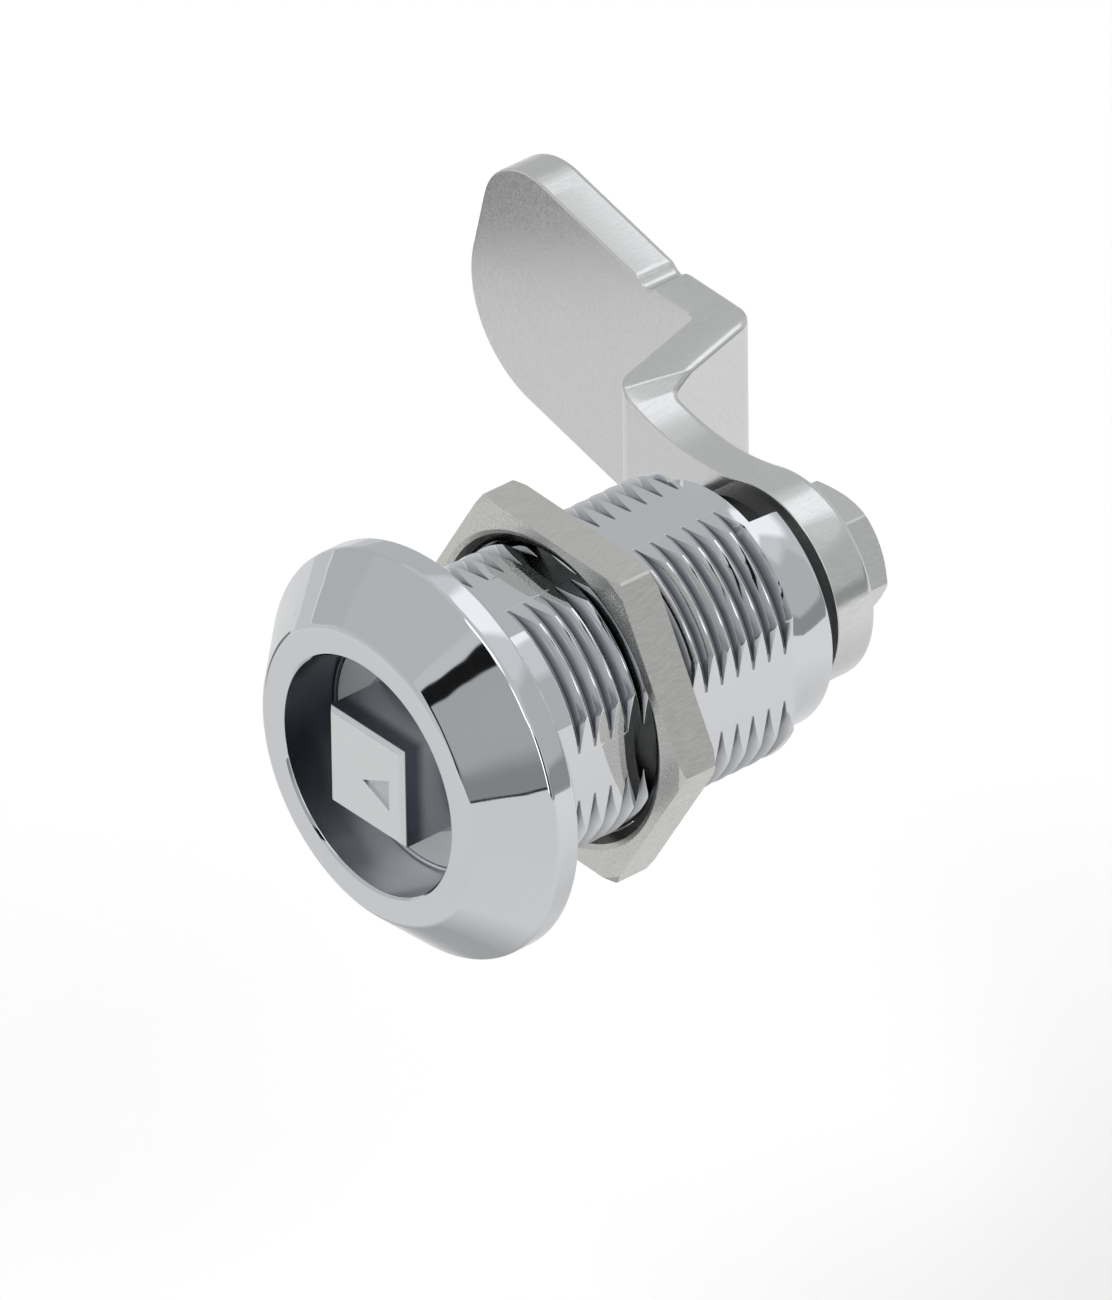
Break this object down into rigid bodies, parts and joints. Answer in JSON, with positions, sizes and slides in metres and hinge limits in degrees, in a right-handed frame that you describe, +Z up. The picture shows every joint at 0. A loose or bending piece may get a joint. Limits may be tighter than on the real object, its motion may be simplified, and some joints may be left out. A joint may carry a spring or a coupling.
{
  "type": "quarter-turn cam latch",
  "caption": "Chromed quarter-turn cam latch: round dished head with a square key insert, threaded barrel with flats, hexagonal nut, and a cranked cam bolted on the spindle.",
  "frame": {"origin": "on the lock axis, in the plane of the head's back face that rests on the door", "axes": "+Y runs along the lock axis from the outside of the door to the inside, +Z is up, +X is to the right as seen from outside; the cam points to -X at rest"},
  "size_m": [0.0515, 0.0436, 0.027],
  "materials": {
    "chrome": "bright chrome plate on a die casting",
    "insert": "satin chrome plate on a die casting",
    "nickel": "satin nickel plate",
    "zinc": "satin zinc plate",
    "blackened": "blackened steel",
    "rubber": "matte black"
  },
  "bodies": {
    "housing_body": {"housing": "chrome"},
    "spindle_body": {"spindle": "insert", "spindle_o_ring": "rubber", "stop_washer": "blackened", "cam": "zinc", "cam_bolt": "zinc"},
    "nut_body": {"mounting_nut": "nickel"}
  },
  "joints": [
    {"name": "spindle_turn", "type": "hinge", "parent": "housing_body", "child": "spindle_body", "pos_m": [0, 0, 0], "axis": [0, 1, 0], "range_deg": [0, 90]},
    {"name": "nut_travel", "type": "slide", "parent": "housing_body", "child": "nut_body", "axis": [0, 1, 0], "range_m": [-0.0084, 0.009]}
  ]
}
